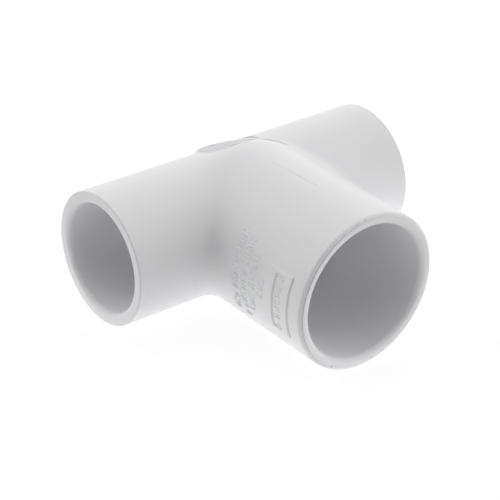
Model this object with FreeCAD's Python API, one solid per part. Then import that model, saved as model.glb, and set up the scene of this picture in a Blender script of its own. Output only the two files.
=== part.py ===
import FreeCAD, Part
import math
import os

# Reducing tee for solvent-welded plastic pipe, moulded in one piece.
# The run lies along X with a socket at each end, and the larger branch
# opens toward -Y. The origin is where the two axes cross, and +Z is up.
# Millimetres and degrees.

# Run sockets, both alike: the mouth is slightly wider than the seat, so a
# pipe goes in easily and then wedges
run_seat_d = 33.40
run_taper_rise = 0.13
run_taper_length = 14.3
run_socket_depth = 28.7
run_wall = 4.1
run_stop_height = 1.5
run_stop_land = 3.1
run_edge_bevel = 0.25
run_lead_in = 1.7

# Branch socket, one pipe size up
branch_seat_d = 42.16
branch_taper_rise = 0.13
branch_taper_length = 15.9
branch_socket_depth = 36.5
branch_wall = 3.92
branch_stop_height = 1.58
branch_stop_land = 3.35
branch_rim_round = 1.0
branch_rim_step = 0.3
branch_lead_in = 1.9

# Throat, where the branch waterway narrows into the run
throat_length = 12.0
throat_inset = 1.2

# Outside: the branch barrel ends in a dome over the run, short of its
# back, and one large fillet runs round the whole crotch
dome_short_of_back = 3.9
crotch_fillet = 8.0

# Stub of the gate, on the shoulder where the dome runs out. It was cut off
# close to the run and slightly aslant, and the cut took the top of the dome
gate_d = 14.2
gate_angle = 22.3
gate_proud = 0.05
gate_tilt = 2.5
gate_flare = 8.0
gate_root = 3.0
gate_cut_d = 22.0

# The rounds at the mouths and at the branch's rim are made of narrow bevels,
# each turned this much from the one before it
mouth_bevel_turn = 15.0
rim_bevel_turn = 30.0

# Raised border round a plain field on the side of the branch. Its strips
# have sloping sides, and it stands a little above the middle
border_from_rim = 10.7
border_length = 10.1
border_span = 46.0
border_lift = 1.0
border_strip = 3.4
border_end_strip = 1.5
border_height = 0.4
border_bevel = 0.36

# How far a cutter reaches past the face that it opens, how deep an added
# form is rooted in the wall, and how near two equal lengths are
overshoot = 5.0
root_depth = 1.5
equal_within = 0.001

# Radii and ends worked out from the sizes above
run_seat_r = run_seat_d / 2
run_mouth_r = run_seat_r + run_taper_rise
run_outer_r = run_seat_r + run_wall
run_way_r = run_seat_r - run_stop_height
branch_seat_r = branch_seat_d / 2
branch_mouth_r = branch_seat_r + branch_taper_rise
branch_outer_r = branch_seat_r + branch_wall
branch_way_r = branch_seat_r - branch_stop_height
run_stop_x = branch_way_r + run_stop_land
run_end_x = run_stop_x + run_socket_depth
branch_stop_y = -(run_outer_r + branch_stop_land)
branch_end_y = branch_stop_y - branch_socket_depth
dome_y = run_outer_r - dome_short_of_back - branch_outer_r

origin = FreeCAD.Vector(0, 0, 0)
along_x = FreeCAD.Vector(1, 0, 0)
along_y = FreeCAD.Vector(0, 1, 0)
along_z = FreeCAD.Vector(0, 0, 1)


def point(x, y):
    return FreeCAD.Vector(x, y, 0)


# The corners of the bevels that follow a round from start to end, all of
# the same turn and as near to the one asked for as fits
def bevels(start, centre, end, bevel_turn):
    spoke = start - centre
    whole = math.degrees(spoke.getAngle(end - centre))
    count = max(1, round(whole / bevel_turn))
    way = along_z if spoke.cross(end - centre).z > 0 else -along_z
    return [
        centre + FreeCAD.Rotation(way, whole * step / count).multVec(spoke)
        for step in range(count + 1)
    ]


def arc(start, centre, end):
    # the short way round from start to end, through the point half way
    half_way = (start - centre) + (end - centre)
    half_way.normalize()
    middle = centre + half_way * (start - centre).Length
    return Part.Arc(start, middle, end).toShape()


def outline(*steps):
    # a closed outline in the plane z = 0: each step is a point to go to,
    # or a pair (centre, point) to go round an arc
    edges = []
    here = steps[0]
    for step in steps[1:] + (steps[0],):
        if isinstance(step, tuple):
            centre, there = step
            edges.append(arc(here, centre, there))
        else:
            there = step
            edges.append(Part.LineSegment(here, there).toShape())
        here = there
    return Part.Face(Part.Wire(edges))


def turned(face, axis, angle=360.0):
    return face.revolve(origin, axis, angle)


# Run barrel: a plain round with both outer edges just bevelled
def run_barrel():
    edge_x = run_end_x - run_edge_bevel
    edge_r = run_outer_r - run_edge_bevel
    face = outline(
        point(-run_end_x, 0),
        point(-run_end_x, edge_r),
        point(-edge_x, run_outer_r),
        point(edge_x, run_outer_r),
        point(run_end_x, edge_r),
        point(run_end_x, 0),
    )
    return turned(face, along_x)


# Branch barrel: flat land at the mouth, a small step back to the rounded
# rim, the straight barrel, and the dome of the barrel's own radius
def branch_barrel():
    land_r = branch_outer_r - branch_rim_round
    step_y = branch_end_y + branch_rim_step
    round_y = step_y + branch_rim_round
    round_centre = point(land_r, round_y)
    face = outline(
        point(0, branch_end_y),
        point(land_r, branch_end_y),
        *bevels(point(land_r, step_y), round_centre, point(branch_outer_r, round_y), rim_bevel_turn),
        point(branch_outer_r, dome_y),
        (point(0, dome_y), point(0, dome_y + branch_outer_r)),
    )
    return turned(face, along_y)


# The line where the barrels meet is the only one that is neither straight
# nor round
def crotch_edges(body):
    return [e for e in body.Edges if not isinstance(e.Curve, (Part.Circle, Part.Line))]


# One half of the run bore, from its mouth at +X to the middle of the tee
def run_bore_half():
    lip_x = run_end_x - run_lead_in
    lip_r = run_mouth_r + run_lead_in
    lip_centre = point(lip_x, lip_r)
    face = outline(
        point(0, 0),
        point(run_end_x + overshoot, 0),
        point(run_end_x + overshoot, lip_r),
        *bevels(point(run_end_x, lip_r), lip_centre, point(lip_x, run_mouth_r), mouth_bevel_turn),
        point(run_end_x - run_taper_length, run_seat_r),
        point(run_stop_x, run_seat_r),
        point(run_stop_x, run_way_r),
        point(0, run_way_r),
    )
    return turned(face, along_x)


# Branch bore, from its mouth at -Y through the throat into the run. The
# throat ends inside the run bore, so the two cross in a sharp edge
def branch_bore():
    lip_y = branch_end_y + branch_lead_in
    lip_r = branch_mouth_r + branch_lead_in
    lip_centre = point(lip_r, lip_y)
    face = outline(
        point(0, branch_end_y - overshoot),
        point(lip_r, branch_end_y - overshoot),
        *bevels(point(lip_r, branch_end_y), lip_centre, point(branch_mouth_r, lip_y), mouth_bevel_turn),
        point(branch_seat_r, branch_end_y + branch_taper_length),
        point(branch_seat_r, branch_stop_y),
        point(branch_way_r, branch_stop_y),
        point(branch_way_r, -throat_length),
        point(run_way_r - throat_inset, 0),
        point(0, 0),
    )
    return turned(face, along_y)


# Leans a form that stands on +Z back to where the gate is
def leaned_back(shape):
    shape.rotate(origin, along_x, -gate_angle)
    return shape


# Gate boss: a short round with a flared foot, taller than the cut
def gate_boss():
    foot_r = run_outer_r - gate_root
    height = 2 * gate_root
    flare = height * math.tan(math.radians(gate_flare))
    foot = FreeCAD.Vector(0, 0, foot_r)
    return leaned_back(Part.makeCone(gate_d / 2 + flare, gate_d / 2, height, foot, along_z))


# What the cut takes away: all that stands above a slanting plane
def gate_waste():
    middle = FreeCAD.Vector(0, 0, run_outer_r + gate_proud)
    waste = Part.makeCylinder(gate_cut_d / 2, gate_d, middle, along_z)
    waste.rotate(middle, along_y, gate_tilt)
    return leaned_back(waste)


# A block bent round the branch on its -X side, from radius inner to outer
def bent_block(inner, outer, length, span):
    middle_y = branch_end_y + border_from_rim
    face = outline(
        point(-inner, middle_y - length / 2),
        point(-outer, middle_y - length / 2),
        point(-outer, middle_y + length / 2),
        point(-inner, middle_y + length / 2),
    )
    face.rotate(origin, along_y, border_lift - span / 2)
    return turned(face, along_y, span)


# The edges of a bent form that lie wholly at this distance from the axis
def edges_at(radius, shape):
    def there(corner):
        return abs(math.hypot(corner.X, corner.Z) - radius) < equal_within
    return [edge for edge in shape.Edges if all(there(corner) for corner in edge.Vertexes)]


# Border: what is left of one bent block when a smaller one is taken out,
# with the edges of its top bevelled almost down to the barrel
def border():
    foot = branch_outer_r - root_depth
    top = branch_outer_r + border_height
    end_angle = math.degrees(border_end_strip / branch_outer_r)
    outside = bent_block(foot, top, border_length, border_span)
    inside = bent_block(
        foot - overshoot,
        top + overshoot,
        border_length - 2 * border_strip,
        border_span - 2 * end_angle,
    )
    frame = outside.cut(inside)
    return frame.makeChamfer(border_bevel, edges_at(top, frame))


def tee_body():
    body = run_barrel().fuse(branch_barrel())
    body = body.makeFillet(crotch_fillet, crotch_edges(body))
    body = body.fuse([gate_boss(), border()])
    half_bore = run_bore_half()
    other_half = half_bore.mirror(origin, along_x)
    body = body.cut([gate_waste(), half_bore, other_half, branch_bore()])
    return body.removeSplitter()


os.makedirs("parts", exist_ok=True)
body = tee_body()
if len(body.Solids) == 1:
    body = body.Solids[0]
body.exportStep("parts/tee_body.step")
box = body.BoundBox
print("tee_body valid", body.isValid(), "solids", len(body.Solids), "faces", len(body.Faces))
print("volume", round(body.Volume), "box", [round(v, 3) for v in (
    box.XMin, box.YMin, box.ZMin, box.XMax, box.YMax, box.ZMax)])
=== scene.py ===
import math
import bmesh
import bpy
import numpy as np
from mathutils import Matrix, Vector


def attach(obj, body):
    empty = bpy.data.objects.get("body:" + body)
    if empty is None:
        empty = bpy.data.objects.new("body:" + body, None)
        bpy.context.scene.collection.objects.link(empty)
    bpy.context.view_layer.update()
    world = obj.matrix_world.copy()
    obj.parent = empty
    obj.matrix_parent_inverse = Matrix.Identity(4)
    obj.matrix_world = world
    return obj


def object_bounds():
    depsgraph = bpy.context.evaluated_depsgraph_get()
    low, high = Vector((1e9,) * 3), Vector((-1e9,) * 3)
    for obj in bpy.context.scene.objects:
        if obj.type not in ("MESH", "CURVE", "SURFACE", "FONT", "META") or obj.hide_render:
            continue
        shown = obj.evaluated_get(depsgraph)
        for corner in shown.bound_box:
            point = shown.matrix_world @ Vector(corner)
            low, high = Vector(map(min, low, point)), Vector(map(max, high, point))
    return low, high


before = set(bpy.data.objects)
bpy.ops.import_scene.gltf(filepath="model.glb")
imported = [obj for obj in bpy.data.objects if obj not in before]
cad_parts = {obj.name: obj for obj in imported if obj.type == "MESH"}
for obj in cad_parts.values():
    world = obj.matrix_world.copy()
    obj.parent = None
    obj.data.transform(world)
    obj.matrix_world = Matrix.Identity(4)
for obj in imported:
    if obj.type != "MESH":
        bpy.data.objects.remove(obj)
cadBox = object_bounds()
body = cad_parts["tee_body"]
mm = 0.001
print("frame loaded:", sorted(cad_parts))

# Sizes read from the frame
branchR = cadBox[1].z          # branch barrel, outside radius
runR = cadBox[1].y             # run barrel, outside radius
domeShort = 3.9 * mm           # the dome stops this far short of the run's back
domeY = runR - domeShort - branchR     # its centre, on the branch's axis


# Small helpers
def hexColour(text):
    # an sRGB hex value turned to linear light
    parts = np.array([int(text[i:i + 2], 16) for i in (1, 3, 5)]) / 255
    linear = np.where(parts <= 0.04045, parts / 12.92, ((parts + 0.055) / 1.055) ** 2.4)
    return (*linear.tolist(), 1.0)


def addNode(tree, kind, settings=None, links=None):
    # one node with its settings and links. A setting is an attribute or an
    # input's value. A link gives the socket that feeds an input, or the node
    # whose first output does
    made = tree.nodes.new(kind)
    for key, value in (settings or {}).items():
        if isinstance(key, str) and hasattr(made, key):
            setattr(made, key, value)
        else:
            made.inputs[key].default_value = value
    for key, source in (links or {}).items():
        socket = source.outputs[0] if hasattr(source, "outputs") else source
        tree.links.new(socket, made.inputs[key])
    return made


def closeAndTurnOut(piece):
    # doubles at the poles are merged, then all faces are turned outwards
    work = bmesh.new()
    work.from_mesh(piece.data)
    bmesh.ops.remove_doubles(work, verts=work.verts, dist=1e-7)
    bmesh.ops.recalc_face_normals(work, faces=work.faces)
    work.to_mesh(piece.data)
    work.free()


def gridPiece(name, points, material):
    # points has the shape (copies, rows, columns, 3): every copy is a
    # closed surface whose columns run round and whose first and last rows
    # are poles
    copies, rows, columns = points.shape[:3]
    index = np.arange(copies * rows * columns).reshape(copies, rows, columns)
    a = index[:, :-1, :]
    b = index[:, 1:, :]
    faces = np.stack([a, np.roll(a, -1, 2), np.roll(b, -1, 2), b], -1).reshape(-1, 4)
    mesh = bpy.data.meshes.new(name)
    mesh.from_pydata(points.reshape(-1, 3).tolist(), [], faces.tolist())
    piece = bpy.data.objects.new(name, mesh)
    bpy.context.scene.collection.objects.link(piece)
    closeAndTurnOut(piece)
    mesh.polygons.foreach_set("use_smooth", np.ones(len(mesh.polygons), bool))
    mesh.materials.append(material)
    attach(piece, "root")
    return piece


def softMask(tree, steps):
    # the product of soft steps. Each step has the value that it reads, the
    # two places in mm between which it changes, and what it is before the
    # first place and after the second
    mask = None
    for measure, (firstMm, secondMm), before, after in steps:
        step = addNode(
            tree, "ShaderNodeMapRange",
            {"interpolation_type": "SMOOTHSTEP",
             1: firstMm * mm, 2: secondMm * mm, 3: before, 4: after},
            {0: measure})
        if mask is None:
            mask = step
        else:
            mask = addNode(tree, "ShaderNodeMath", {"operation": "MULTIPLY"}, {0: mask, 1: step})
    return mask


def awayFromPlane(tree, place, normal, outMm):
    # distance of the point on either side of a plane
    out = addNode(
        tree, "ShaderNodeVectorMath", {"operation": "DOT_PRODUCT", 1: normal}, {0: place})
    off = addNode(
        tree, "ShaderNodeMath", {"operation": "SUBTRACT", 1: outMm * mm},
        {0: out.outputs["Value"]})
    return addNode(tree, "ShaderNodeMath", {"operation": "ABSOLUTE"}, {0: off})


# Rigid PVC, injection moulded: white, a soft gloss with a faint fine grain
# from the mould's wall, and slow waves where it shrank
pvc = {
    "colour": "#EDEDEF",
    "paleColour": "#F1F1F2",
    "roughness": 0.3,
    "ior": 1.53,
    "patterns": {           # size in mm and detail of each
        "grain": (0.35, 3.0),   # the mould's spark-eroded grain, drawn coarse to show
        "waves": (7.0, 1.0),    # sink and flow waves
        "clouds": (18.0, 2.0),  # slow change of tint
        "torn": (0.9, 4.0),     # on the cut face of the gate
    },
    "grainDepthMm": 0.002,
    "waveDepthMm": 0.006,
    "edgeMm": 0.35,         # no moulded edge is sharper than this round
    "fineEdgeMm": 0.04,     # the same for small raised marks
    "edgeSamples": 8,
}

# Cut face of the gate's stub: torn at one end, where it is dull and darker, and nearly smooth at
# the other. Its darker colour is partly the torn skin's own and partly painted shade of its rough
# relief
cutGate = {
    "colour": "#D6D6D8",
    "roughness": 0.6,
    "normal": (0.0436, 0.3791, 0.9243),     # the way that this face looks
    "outMm": 20.830,        # it lies this far out along that way
    "middleMm": (0.0, 7.91, 19.29),
    "edgeMm": (10.78, 11.0),        # its edge lies between these radii
    "depthMm": (0.006, 0.014),      # how near the face counts as cut, and
    "skinDepthMm": (0.12, 0.3),     # the same for the torn skin on top
    "smoothWay": (0.787, -0.617, 0.0),      # it gets smoother this way,
    "smoothFromToMm": (-1.0, 3.5),          # between these two places,
    "smoothLeft": 0.15,                     # down to this share
    "streaks": (0.35, 0.65, 0.4, 1.0),      # low and high of the torn pattern, and
                                            # the share of the colour at each
    "tornDepthMm": 0.05,
}

# Line on the branch's crest where the mould's halves met: a low ridge
parting = {
    "across": (0.9993, 0.0387, 0.0),    # the way across it
    "atMm": -2.03,                      # its place along that way
    "halfMm": 0.55,                     # half its width
    "heightMm": 0.13,
    "fromToMm": (-40.0, -16.0),         # it runs between these two y,
    "fadeMm": 4.0,                      # and fades over this length at each end
    "aboveMm": (0.0, 10.0),             # it shows on the upper side alone
}

# Small dark spots: x, y, z and radius in mm. The tears are painted shadows in the torn nicks
# of the cut face; the specks are dirt
spots = {
    "nickShadowColour": "#B2B2B4",
    "tears": (
        (0.13, 3.03, 21.29, 1.5),
        (-1.4, 0.3, 22.6, 1.2),
        (-2.3, -0.9, 23.1, 1.0),
        (-0.1, 12.8, 17.3, 1.6),
    ),
    "speckColour": "#8E8E90",
    "specks": (
        (-23.39, -60.5, 6.29, 0.3),
        (-12.27, -60.6, -20.33, 0.35),
        (3.33, -60.6, -23.26, 0.3),
        (-2.24, -60.4, 24.54, 0.45),
        (-5.34, -60.4, 23.95, 0.4),
        (-0.92, -60.5, 24.28, 0.3),
    ),
    "fullShare": 0.2,       # a spot is full out to this share of its radius
}


def cutFace(tree, place, depthMm):
    # 1 on the rough end of the cut face, falling towards its smooth end, and
    # 0 off the face, which is told by its plane and its edge
    away = addNode(
        tree, "ShaderNodeVectorMath",
        {"operation": "DISTANCE", 1: tuple(v * mm for v in cutGate["middleMm"])}, {0: place})
    along = addNode(
        tree, "ShaderNodeVectorMath",
        {"operation": "DOT_PRODUCT", 1: cutGate["smoothWay"]}, {0: place})
    return softMask(tree, (
        (awayFromPlane(tree, place, cutGate["normal"], cutGate["outMm"]), depthMm, 1.0, 0.0),
        (away.outputs["Value"], cutGate["edgeMm"], 1.0, 0.0),
        (along.outputs["Value"], cutGate["smoothFromToMm"], 1.0, cutGate["smoothLeft"]),
    ))


def partingLine(tree, place):
    # 1 along the middle of the line, 0 beside it and past its ends
    parts = addNode(tree, "ShaderNodeSeparateXYZ", {}, {0: place})
    start, end = parting["fromToMm"]
    fade = parting["fadeMm"]
    return softMask(tree, (
        (awayFromPlane(tree, place, parting["across"], parting["atMm"]),
         (0.0, parting["halfMm"]), 1.0, 0.0),
        (parts.outputs["Y"], (start, start + fade), 0.0, 1.0),
        (parts.outputs["Y"], (end - fade, end), 1.0, 0.0),
        (parts.outputs["Z"], parting["aboveMm"], 0.0, 1.0),
    ))


def softSpots(tree, place, places):
    # 1 in the middle of each spot, 0 outside all of them
    total = None
    for x, y, z, radius in places:
        away = addNode(
            tree, "ShaderNodeVectorMath",
            {"operation": "DISTANCE", 1: (x * mm, y * mm, z * mm)}, {0: place})
        reach = (spots["fullShare"] * radius, radius)
        spot = softMask(tree, ((away.outputs["Value"], reach, 1.0, 0.0),))
        if total is None:
            total = spot
        else:
            total = addNode(tree, "ShaderNodeMath", {"operation": "MAXIMUM"}, {0: spot, 1: total})
    return total


def mouldedPvc(name, edgeMm, cutDepthMm):
    material = bpy.data.materials.new(name)
    material.use_nodes = True
    tree = material.node_tree
    tree.nodes.clear()
    place = addNode(tree, "ShaderNodeTexCoord").outputs["Object"]
    patterns = {
        pattern: addNode(
            tree, "ShaderNodeTexNoise", {"Scale": 1 / (sizeMm * mm), "Detail": detail},
            {"Vector": place})
        for pattern, (sizeMm, detail) in pvc["patterns"].items()}

    # the tint, from the whole surface to the smallest spot
    cut = cutFace(tree, place, cutDepthMm)
    low, high, least, most = cutGate["streaks"]
    streaks = addNode(
        tree, "ShaderNodeMapRange",
        {"interpolation_type": "SMOOTHSTEP", 1: low, 2: high, 3: least, 4: most},
        {0: patterns["torn"]})
    streaks = addNode(tree, "ShaderNodeMath", {"operation": "MULTIPLY"}, {0: cut, 1: streaks})
    tint = addNode(
        tree, "ShaderNodeMix",
        {"data_type": "RGBA", 6: hexColour(pvc["colour"]), 7: hexColour(pvc["paleColour"])},
        {0: patterns["clouds"]})
    for share, colour in (
            # the cut face: its own duller tone and painted shade of its rough relief
            (streaks, cutGate["colour"]),
            # the tears: painted shadow in the torn nicks of the cut face
            (softSpots(tree, place, spots["tears"]), spots["nickShadowColour"]),
            (softSpots(tree, place, spots["specks"]), spots["speckColour"])):
        tint = addNode(
            tree, "ShaderNodeMix", {"data_type": "RGBA", 7: hexColour(colour)},
            {0: share, 6: tint.outputs[2]})

    # the relief, from the rounded edges to the tears
    tears = addNode(
        tree, "ShaderNodeMath", {"operation": "MULTIPLY"}, {0: patterns["torn"], 1: cut})
    normal = addNode(
        tree, "ShaderNodeBevel", {"samples": pvc["edgeSamples"], "Radius": edgeMm * mm})
    for height, depthMm in (
            (patterns["waves"], pvc["waveDepthMm"]),
            (patterns["grain"], pvc["grainDepthMm"]),
            (partingLine(tree, place), parting["heightMm"]),
            (tears, cutGate["tornDepthMm"])):
        normal = addNode(
            tree, "ShaderNodeBump", {"Strength": 1.0, "Distance": depthMm * mm},
            {"Height": height, "Normal": normal})

    roughness = addNode(
        tree, "ShaderNodeMapRange",
        {"interpolation_type": "SMOOTHSTEP", 3: pvc["roughness"], 4: cutGate["roughness"]},
        {0: cut})
    surface = addNode(
        tree, "ShaderNodeBsdfPrincipled", {"IOR": pvc["ior"]},
        {"Base Color": tint.outputs[2], "Roughness": roughness, "Normal": normal})
    addNode(tree, "ShaderNodeOutputMaterial", {}, {"Surface": surface})
    return material


whitePvc = mouldedPvc("mouldedPvc", pvc["edgeMm"], cutGate["depthMm"])
finePvc = mouldedPvc("mouldedPvcFine", pvc["fineEdgeMm"], cutGate["depthMm"])
# the gate's torn skin takes the same darker colour, partly painted shade of its rough relief
tornPvc = mouldedPvc("tornPvc", pvc["fineEdgeMm"], cutGate["skinDepthMm"])
for materialSlot in body.material_slots:
    materialSlot.material = whitePvc
print("material made")


# Raised marks on the side of the branch: plain bars and dots in groups, in
# rows round the barrel and inside the border, and the sloping upper end of
# the border itself
marks = {
    "rows": (               # y of the row, its height along the branch, both
        (-30.8, 3.0, 32, -29),      # in mm, and its first and last angle
        (-34.6, 3.1, 30, -29),
        (-38.5, 2.9, 22, -19),
        (-42.3, 2.9, 8.6, -8),
        (-50.2, 2.5, 17, -20),
    ),
    "seed": 11,
    "widthMm": 0.52,
    "heightMm": 0.21,
    "sunkMm": 0.25,
    "lean": 0.12,           # how far a bar may lean either way
    "pitchMm": 2.3,         # from one pair of bars to the next
    "pairMm": 1.05,         # between the two bars of a pair
    "groupPairs": (3, 7),   # fewest pairs in a group, and one more than the most
    "groupGapMm": 1.0,
    "bars": (               # each bar: middles and lengths of its parts, as
        ((0.0, 1.0),),      # shares of the row's height
        ((0.12, 0.75),),
        ((-0.12, 0.75),),
        ((-0.36, 0.28), (0.36, 0.28)),
        ((-0.2, 0.55), (0.38, 0.24)),
    ),
    "endSlope": (-49.95, 10.1, 23.9, 1.2, 0.42),    # y, length, angle, width, height
    "roundness": 0.5,       # power of the outline's cosine and sine
    "outlinePoints": 24,
    "profile": (            # share of the width, share of the height, and sunk
        (0.0, 0.0, 1.0),
        (1.0, 0.0, 1.0),
        (1.0, 0.0, 0.0),
        (0.84, 0.5, 0.0),
        (0.62, 0.84, 0.0),
        (0.35, 0.98, 0.0),
        (0.0, 1.0, 0.0),
    ),
}


def barPlaces():
    # for each part of a bar: y, angle round the branch, half its length and
    # half its width, lean, height and slope
    chance = np.random.default_rng(marks["seed"])
    perDegree = math.radians(1) * branchR / mm
    places = []
    for y, tall, first, last in marks["rows"]:
        angle = first
        while angle > last:
            for pair in range(chance.integers(*marks["groupPairs"])):
                for side in (-0.5, 0.5):
                    lean = chance.uniform(-marks["lean"], marks["lean"])
                    for middle, length in marks["bars"][chance.integers(len(marks["bars"]))]:
                        places.append((
                            y + middle * tall, angle + side * marks["pairMm"] / perDegree,
                            0.5 * length * tall, 0.5 * marks["widthMm"],
                            lean, marks["heightMm"], 0.0))
                angle -= marks["pitchMm"] / perDegree
                if angle < last:
                    break
            angle -= marks["groupGapMm"] / perDegree
    y, long, angle, wide, high = marks["endSlope"]
    places.append((y, angle, 0.5 * long, 0.5 * wide, 0.0, high, 1.0))
    return np.array(places)


def raisedMarks():
    # each mark is a low pad bent round the branch. Its outline is a
    # superellipse of the turn t, a power of cos t by the same power of sin t,
    # and its rows go from a sunk pole over the foot and a rounded shoulder to
    # the top. A sloping one rises from nothing at its upper side
    t = np.linspace(0, 2 * math.pi, marks["outlinePoints"], endpoint=False)
    across = np.sign(np.cos(t)) * np.abs(np.cos(t)) ** marks["roundness"]
    along = np.sign(np.sin(t)) * np.abs(np.sin(t)) ** marks["roundness"]
    share, rise, sunk = (column[None, :, None] for column in np.array(marks["profile"]).T)
    y0, angle0, half, wide, lean, high, slope = (
        column[:, None, None] for column in barPlaces().T)
    inset = (1 - share) * wide
    u = np.where(share > 0, wide - inset, 0) * across
    v = np.where(share > 0, half - inset, 0) * along
    angle = np.radians(angle0) + (u + lean * v) * mm / branchR
    falling = 1 - slope * (0.5 + 0.5 * u / wide)
    r = branchR + (rise * high * falling - sunk * marks["sunkMm"]) * mm
    points = np.stack([-r * np.cos(angle), (y0 + v) * mm + 0 * r, r * np.sin(angle)], -1)
    return gridPiece("raisedMarks", points, finePvc)


raisedMarks()
print("marks made")


# Skin of the cut gate: the torn face of the stub, a little proud of the clean
# cut, which runs out over a soft foot to the barrel round it
scar = {
    "leanDegrees": 22.3,    # how far the gate leans back from straight up
    "stubMm": 7.6,          # radius out to which the torn face is flat
    "footMm": 10.0,         # radius where the foot meets the barrel
    "rings": (34, 14),      # rows of points on the face and on the foot
    "footStepMm": 0.2,      # from the face's last row to the foot's first
    "ringPoints": 120,
    "cutMm": 20.85,         # height of the cut over the axes' crossing
    "cutFall": 0.0437,      # fall of the cut per length towards +X
    "proudMm": 0.03,
    "tearMm": 0.05,         # depth of the tears
    "tearWaveMm": 1.7,
    "tearWay": (0.9, 0.44),         # the way across the tears
    "tearBend": (0.8, 0.9),         # how far they wind, and how fast
    "tearLong": (0.6, 1.0, 0.0),    # the long wave and the short one: its share,
    "tearShort": (0.4, 2.7, 1.3),   # its turns to one, and how it runs aslant
    "nickMm": (-0.56, 3.97, 0.9, 0.3),      # place, radius and depth of a nick
    "deepMm": 0.8,
}


def gateScar():
    # a lid on the gate's axis: by radius rho and turn t, the top is the
    # cut's plane inside the stub and comes down to the form below, which is
    # the lower of the plane and the higher of the two barrels. Two sines
    # across the face make the tears, and a bell the nick. The last rows
    # close it below
    t = np.linspace(0, 2 * math.pi, scar["ringPoints"], endpoint=False)[None, :]
    stub, foot = scar["stubMm"], scar["footMm"]
    faceRings, footRings = scar["rings"]
    rho = np.concatenate([
        np.linspace(0, stub, faceRings),
        np.linspace(stub + scar["footStepMm"], foot, footRings),
        [foot, 0.0]])
    rho = rho[:, None]
    u, v = rho * np.cos(t), rho * np.sin(t)
    lean = math.radians(scar["leanDegrees"])
    run = np.sqrt((runR / mm) ** 2 - v ** 2)
    ahead, under = domeY / mm * math.cos(lean), domeY / mm * math.sin(lean)
    dome = under + np.sqrt((branchR / mm) ** 2 - u ** 2 - (v - ahead) ** 2)
    plane = scar["cutMm"] - scar["cutFall"] * u
    below = np.minimum(np.maximum(run, dome), plane)
    share = np.clip((rho - stub) / (foot - stub), 0, 1)
    flat = 1 - share * share * (3 - 2 * share)
    wayU, wayV = scar["tearWay"]
    along = (u * wayU + v * wayV) * 2 * math.pi / scar["tearWaveMm"]
    bend, bendRate = scar["tearBend"]
    longShare, longTurns, longSlant = scar["tearLong"]
    shortShare, shortTurns, shortSlant = scar["tearShort"]
    tears = longShare * np.sin(longTurns * along + longSlant * v + bend * np.sin(bendRate * v))
    tears = tears + shortShare * np.sin(shortTurns * along + shortSlant * v)
    nickU, nickV, nickR, nickDeep = scar["nickMm"]
    nick = nickDeep * np.exp(-((u - nickU) ** 2 + (v - nickV) ** 2) / nickR ** 2)
    top = below + (plane - below) * flat
    top = top + flat * (scar["proudMm"] + scar["tearMm"] * 0.5 * (tears - 1) - nick)
    top = np.where(share >= 1, below - scar["proudMm"], top)
    top[-2:] = (below - scar["deepMm"])[-2:]
    z = top * math.cos(lean) - v * math.sin(lean)
    y = top * math.sin(lean) + v * math.cos(lean)
    points = np.stack([u + 0 * top, y, z], -1)[None] * mm
    return gridPiece("gateScar", points, tornPvc)


gateScar()
print("gate made")


# Witness ridge: where a loose part of the mould met the rest, a low ridge runs
# from the gate down the far side of the dome
ridge = {
    "middleMm": (9.7, 0.2),     # middle of its chord, seen from above
    "turnDegrees": -51.4,       # the way that it runs, from +X
    "halfMm": 8.2,
    "bowMm": 0.8,
    "widthMm": 0.55,
    "heightMm": 0.32,
    "sunkMm": 0.3,
    "points": (81, 16),         # along it and round it
}


def witnessRidge():
    # a section carried along a bowed line, at the tee's own height: s runs
    # from -1 to 1, the line stands off its chord by the bow times 1 - s^2,
    # and the section is the ellipse (cos a, sin a) times the taper 1 - s^4
    alongPoints, roundPoints = ridge["points"]
    s = np.linspace(-1, 1, alongPoints)
    turn = math.radians(ridge["turnDegrees"])
    along = np.array([math.cos(turn), math.sin(turn)])
    across = np.array([-along[1], along[0]])
    line = (np.array(ridge["middleMm"]) + s[:, None] * ridge["halfMm"] * along
            + (1 - s * s)[:, None] * ridge["bowMm"] * across) * mm
    bpy.context.view_layer.update()
    hits = [body.ray_cast((x, y, 2 * branchR), (0, 0, -1)) for x, y in line.tolist()]
    height = np.array([place.z for found, place, normal, face in hits])
    a = np.linspace(0, 2 * math.pi, roundPoints, endpoint=False)
    taper = (1 - s ** 4)[:, None] * mm
    wide = 0.5 * ridge["widthMm"] * np.cos(a) * taper
    tall = np.where(np.sin(a) > 0, ridge["heightMm"], ridge["sunkMm"]) * np.sin(a) * taper
    points = np.stack([
        line[:, :1] + wide * across[0],
        line[:, 1:] + wide * across[1],
        height[:, None] + tall], -1)
    return gridPiece("witnessRidge", points[None], finePvc)


witnessRidge()
print("ridge made")


# Floor, light and camera: a white table in a white tent that is open on the
# camera's side. The camera meets plain white, and so do reflections apart
# from the opening. Only lighting rays meet the brighter patches of the tent
stage = {
    "floorSize": 4.0,       # m, as the lamp's size and place
    "floorGlow": 0.845,     # what the camera sees of the floor without a lamp
    "floorColour": "#808080",
    "floorLight": 0.12,     # what the table gives the object by itself
    "floorPools": (         # bright rounds of the table: start and end of the
        (60, 90, 0.36),         # fall in mm from the middle, and strength
        (100, 160, 0.17),
    ),
    "floorBounce": "#E4E4E4",   # what it gives back of the tent's light
    "tentColour": "#FFFFFF",
    "openingAzimuth": -56,  # from -Y towards +X, in degrees, as all azimuths
    "openingElevation": 19,
    "openingDark": 25,      # degrees off its middle, fully dark up to here
    "openingEdge": 60,      # and the tent is whole from here
    "skyEven": 0.2,
    "patchFocus": 4.0,      # how narrow a patch is
    "patches": (            # azimuth, elevation, strength
        (0, 90, 1.75),
        (225, 30, 0.45),
        (60, 15, 0.25),
        (60, 0, 1.9),
        (150, 0, 0.8),
        (240, 0, 1.6),
    ),
    "lampSize": 0.9,
    "lampPower": 0.15,
    "lampPlace": (0.25, 0.05, 0.95),
}


def skyDirection(azimuth, elevation):
    turn, rise = math.radians(azimuth), math.radians(elevation)
    return (math.sin(turn) * math.cos(rise), -math.cos(turn) * math.cos(rise), math.sin(rise))


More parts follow.
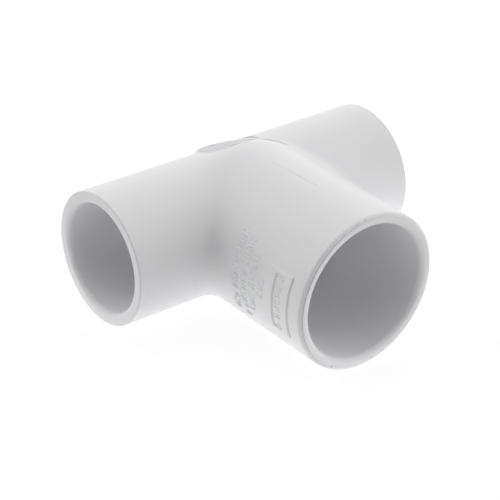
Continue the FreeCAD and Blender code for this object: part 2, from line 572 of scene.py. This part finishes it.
def seenRays(tree):
    # 1 for the rays that should see plain white, 0 for those that light
    rays = addNode(tree, "ShaderNodeLightPath")
    seen = addNode(
        tree, "ShaderNodeMath", {"operation": "MAXIMUM"},
        {0: rays.outputs["Is Camera Ray"], 1: rays.outputs["Is Glossy Ray"]})
    return addNode(
        tree, "ShaderNodeMath", {"operation": "MAXIMUM"},
        {0: seen, 1: rays.outputs["Is Transmission Ray"]})


def besideOpening(tree, direction, elevation):
    # 0 in the tent's opening, 1 away from it, with a soft edge between
    facing = addNode(
        tree, "ShaderNodeVectorMath",
        {"operation": "DOT_PRODUCT", 1: skyDirection(stage["openingAzimuth"], elevation)},
        {0: direction})
    return addNode(
        tree, "ShaderNodeMapRange",
        {"interpolation_type": "SMOOTHSTEP",
         1: math.cos(math.radians(stage["openingEdge"])),
         2: math.cos(math.radians(stage["openingDark"])),
         3: 1.0, 4: 0.0},
        {0: facing.outputs["Value"]})


def makeFloor():
    half = stage["floorSize"] / 2
    low = cadBox[0].z
    mesh = bpy.data.meshes.new("floor")
    mesh.from_pydata(
        [(-half, -half, low), (half, -half, low), (half, half, low), (-half, half, low)],
        [], [(0, 1, 2, 3)])
    floor = bpy.data.objects.new("floor", mesh)
    bpy.context.scene.collection.objects.link(floor)
    material = bpy.data.materials.new("whiteTable")
    material.use_nodes = True
    tree = material.node_tree
    tree.nodes.clear()

    # what the camera and reflections see: a glow, and matt paint that keeps
    # the object's shadow
    glow = addNode(tree, "ShaderNodeEmission", {"Strength": stage["floorGlow"]})
    matt = addNode(tree, "ShaderNodeBsdfDiffuse", {"Color": hexColour(stage["floorColour"])})
    shown = addNode(tree, "ShaderNodeAddShader", {}, {0: glow, 1: matt})

    # what the object is lit by
    place = addNode(tree, "ShaderNodeTexCoord")
    flat = addNode(
        tree, "ShaderNodeVectorMath", {"operation": "MULTIPLY", 1: (1, 1, 0)},
        {0: place.outputs["Object"]})
    away = addNode(tree, "ShaderNodeVectorMath", {"operation": "NORMALIZE"}, {0: flat})
    reach = addNode(tree, "ShaderNodeVectorMath", {"operation": "LENGTH"}, {0: flat})
    level = addNode(
        tree, "ShaderNodeMath", {"operation": "MULTIPLY", 1: stage["floorLight"]},
        {0: besideOpening(tree, away, 0)})
    for startMm, endMm, strength in stage["floorPools"]:
        pool = softMask(tree, ((reach.outputs["Value"], (startMm, endMm), strength, 0.0),))
        level = addNode(tree, "ShaderNodeMath", {"operation": "ADD"}, {0: level, 1: pool})
    gift = addNode(tree, "ShaderNodeEmission", {}, {"Strength": level})
    bounce = addNode(tree, "ShaderNodeBsdfDiffuse", {"Color": hexColour(stage["floorBounce"])})
    light = addNode(tree, "ShaderNodeAddShader", {}, {0: gift, 1: bounce})

    both = addNode(tree, "ShaderNodeMixShader", {}, {0: seenRays(tree), 1: light, 2: shown})
    addNode(tree, "ShaderNodeOutputMaterial", {}, {"Surface": both})
    mesh.materials.append(material)


def makeSky():
    # the tent: each patch is its strength times a power of the cosine of the
    # angle from its middle, and all of them end at the opening
    world = bpy.data.worlds.new("whiteTent")
    bpy.context.scene.world = world
    world.use_nodes = True
    tree = world.node_tree
    tree.nodes.clear()
    way = addNode(tree, "ShaderNodeTexCoord").outputs["Generated"]
    total = addNode(tree, "ShaderNodeValue")
    total.outputs[0].default_value = stage["skyEven"]
    for azimuth, elevation, strength in stage["patches"]:
        facing = addNode(
            tree, "ShaderNodeVectorMath",
            {"operation": "DOT_PRODUCT", 1: skyDirection(azimuth, elevation)}, {0: way})
        ahead = addNode(
            tree, "ShaderNodeMath", {"operation": "MAXIMUM", 1: 0.0},
            {0: facing.outputs["Value"]})
        patch = addNode(
            tree, "ShaderNodeMath", {"operation": "POWER", 1: stage["patchFocus"]}, {0: ahead})
        total = addNode(
            tree, "ShaderNodeMath", {"operation": "MULTIPLY_ADD", 1: strength},
            {0: patch, 2: total})
    whole = besideOpening(tree, way, stage["openingElevation"])
    lit = addNode(tree, "ShaderNodeMath", {"operation": "MULTIPLY"}, {0: total, 1: whole})
    light = addNode(tree, "ShaderNodeBackground", {}, {"Strength": lit})
    rays = addNode(tree, "ShaderNodeLightPath")
    shown = addNode(
        tree, "ShaderNodeMath", {"operation": "MAXIMUM"},
        {0: rays.outputs["Is Camera Ray"], 1: whole})
    white = addNode(
        tree, "ShaderNodeBackground", {"Color": hexColour(stage["tentColour"])},
        {"Strength": shown})
    both = addNode(tree, "ShaderNodeMixShader", {}, {0: seenRays(tree), 1: light, 2: white})
    addNode(tree, "ShaderNodeOutputWorld", {}, {"Surface": both})


def makeLamp():
    lamp = bpy.data.lights.new("softbox", "AREA")
    lamp.size = stage["lampSize"]
    lamp.energy = stage["lampPower"]
    holder = bpy.data.objects.new("softbox", lamp)
    bpy.context.scene.collection.objects.link(holder)
    holder.location = stage["lampPlace"]
    holder.rotation_euler = (-holder.location).to_track_quat("-Z", "Y").to_euler()


makeFloor()
makeSky()
makeLamp()
print("stage made")


# The photograph's viewpoint, from a camera fitted to the outline
shot = {
    "azimuth": -38.936,     # degrees round from -Y, towards +X
    "elevation": 29.910,
    "roll": 1.645,
    "distance": 560.03 * mm,
    "aimRight": 3.784 * mm,     # how far the axes' crossing is off centre
    "aimUp": -12.223 * mm,
    "focalPixels": 1813.43,
    "imagePixels": 500,
    "sensorWidth": 36,      # mm
    "clipStart": 0.01,      # m
}


def makeCamera():
    azimuth, elevation, roll = (math.radians(shot[k]) for k in ("azimuth", "elevation", "roll"))
    back = np.array([
        math.sin(azimuth) * math.cos(elevation),
        -math.cos(azimuth) * math.cos(elevation),
        math.sin(elevation)])
    level = np.cross([0, 0, 1], back)
    level = level / np.linalg.norm(level)
    upright = np.cross(back, level)
    right = math.cos(roll) * level + math.sin(roll) * upright
    up = math.cos(roll) * upright - math.sin(roll) * level
    pose = np.eye(4)
    pose[:3, 0] = right
    pose[:3, 1] = up
    pose[:3, 2] = back
    pose[:3, 3] = shot["aimRight"] * right + shot["aimUp"] * up + shot["distance"] * back
    lens = bpy.data.cameras.new("camera")
    lens.sensor_width = shot["sensorWidth"]
    lens.lens = shot["focalPixels"] / shot["imagePixels"] * lens.sensor_width
    lens.clip_start = shot["clipStart"]
    camera = bpy.data.objects.new("camera", lens)
    bpy.context.scene.collection.objects.link(camera)
    camera.matrix_world = Matrix(pose.tolist())
    bpy.context.scene.camera = camera


makeCamera()
bpy.context.scene.view_settings.view_transform = "Standard"
print("camera made")
